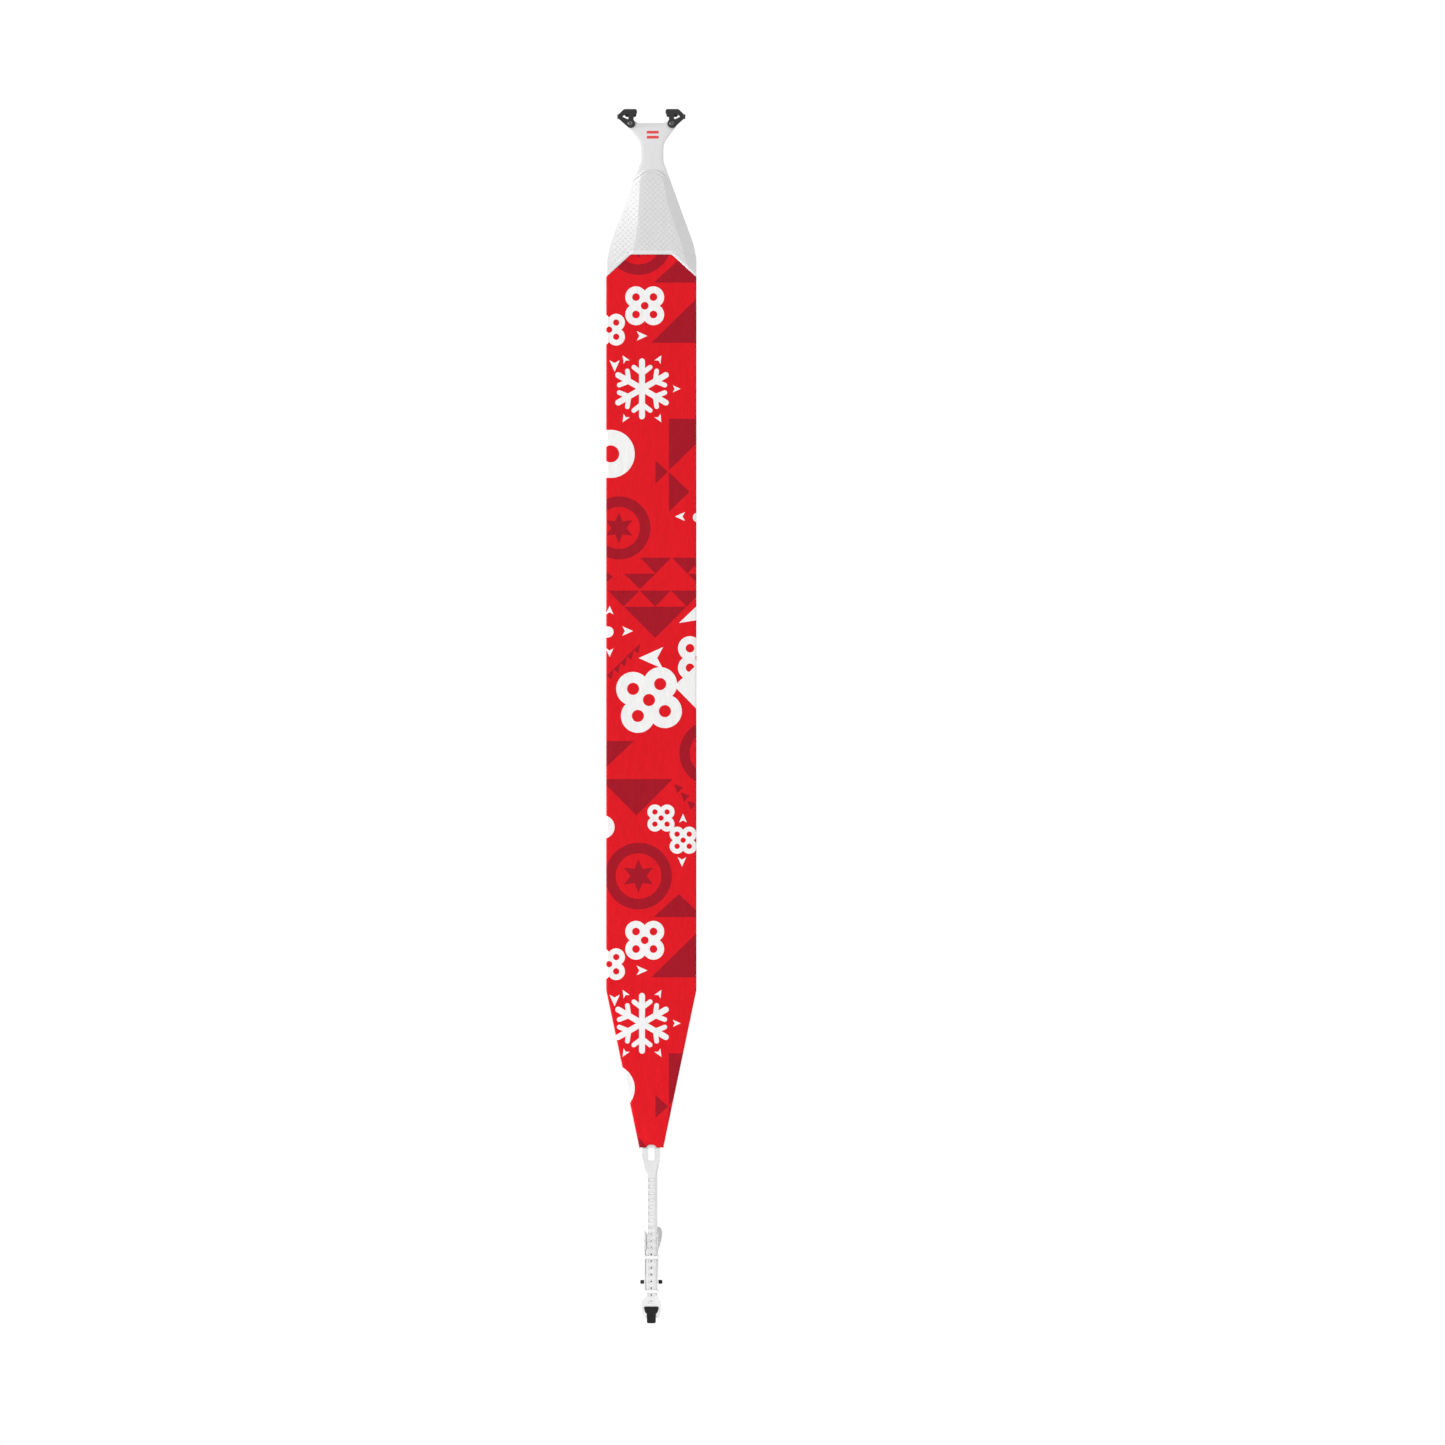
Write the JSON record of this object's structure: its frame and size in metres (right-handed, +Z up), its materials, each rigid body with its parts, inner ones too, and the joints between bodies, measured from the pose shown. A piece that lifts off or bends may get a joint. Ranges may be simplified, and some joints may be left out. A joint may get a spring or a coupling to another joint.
{
  "type": "climbing skin",
  "caption": "Printed plush climbing skin for a touring ski, with swivelling tip hooks on a moulded yoke and a cam clip that slides on a ladder strap at the tail.",
  "frame": {"origin": "middle of the line on which the two tip hooks bear on the edge of a ski's tip, in the plane of the adhesive's face", "axes": "+Z up the skin to the tip hooks, +X to the right seen from the plush, -Y out of the plush, +Y out of the adhesive, where the ski lies. The skin hangs straight down from its tip hooks."},
  "size_m": [0.13, 0.022, 1.7528],
  "materials": {
    "plush": "woven plush with a short directional nap, printed",
    "backing": "tight plain weave",
    "film": "thin satin film",
    "adhesive": "tacky, slightly glossy coat",
    "nose_laminate": "satin, finely embossed",
    "white_moulding": "satin moulded elastomer",
    "patch": "coated tape",
    "black_steel": "black powder coat",
    "dark_rivet": "dark zinc",
    "steel": "brushed stainless",
    "zinc": "plain turned steel",
    "white_nylon": "moulded nylon",
    "black_nylon": "moulded nylon",
    "black_rubber": "soft moulded grip",
    "spring_wire": "spring wire"
  },
  "bodies": {
    "skin_front": {"adhesive_front": "adhesive", "film_front": "film", "cloth_front": "backing", "plush_front": "plush", "nose_cover": "nose_laminate", "tip_patch": "patch", "tip_yoke": "white_moulding", "neck_rivets": "zinc", "tip_rivet_left": "dark_rivet", "tip_rivet_right": "dark_rivet", "tip_spacer_left": "black_nylon", "tip_spacer_right": "black_nylon", "tip_burr_left": "zinc", "tip_burr_right": "zinc"},
    "hook_left": {"tip_hook_left": "black_steel"},
    "hook_right": {"tip_hook_right": "black_steel"},
    "skin_rear": {"adhesive_rear": "adhesive", "film_rear": "film", "cloth_rear": "backing", "plush_rear": "plush", "tail_patch": "patch", "tail_strap": "white_moulding", "tail_rivets": "zinc", "pull_tab": "black_rubber"},
    "tail_clip": {"tail_hook": "steel", "hook_rivets": "zinc", "clip_body": "white_nylon", "guide_block": "black_nylon", "cam_axle": "zinc", "axle_caps": "black_rubber", "cam_spring": "spring_wire"},
    "cam": {"cam_lever": "black_nylon"}
  },
  "joints": [
    {"name": "hook_left_swivel", "type": "hinge", "parent": "skin_front", "child": "hook_left", "pos_m": [-0.03, 0, -0.0186], "axis": [0, 1, 0], "range_deg": [-30, 45]},
    {"name": "hook_right_swivel", "type": "hinge", "parent": "skin_front", "child": "hook_right", "pos_m": [0.03, 0, -0.0186], "axis": [0, -1, 0], "range_deg": [-30, 45]},
    {"name": "skin_fold", "type": "hinge", "parent": "skin_front", "child": "skin_rear", "pos_m": [0, 0.0003, -0.914], "axis": [1, 0, 0], "range_deg": [0, 175]},
    {"name": "clip_slide", "type": "slide", "parent": "skin_rear", "child": "tail_clip", "axis": [0, 0, 1], "range_m": [-0.004, 0.08]},
    {"name": "cam_open", "type": "hinge", "parent": "tail_clip", "child": "cam", "pos_m": [0, 0.005, -1.6918], "axis": [1, 0, 0], "range_deg": [0, 80], "stiffness_Nm_per_rad": 0.02, "springref_deg": -34.38}
  ]
}
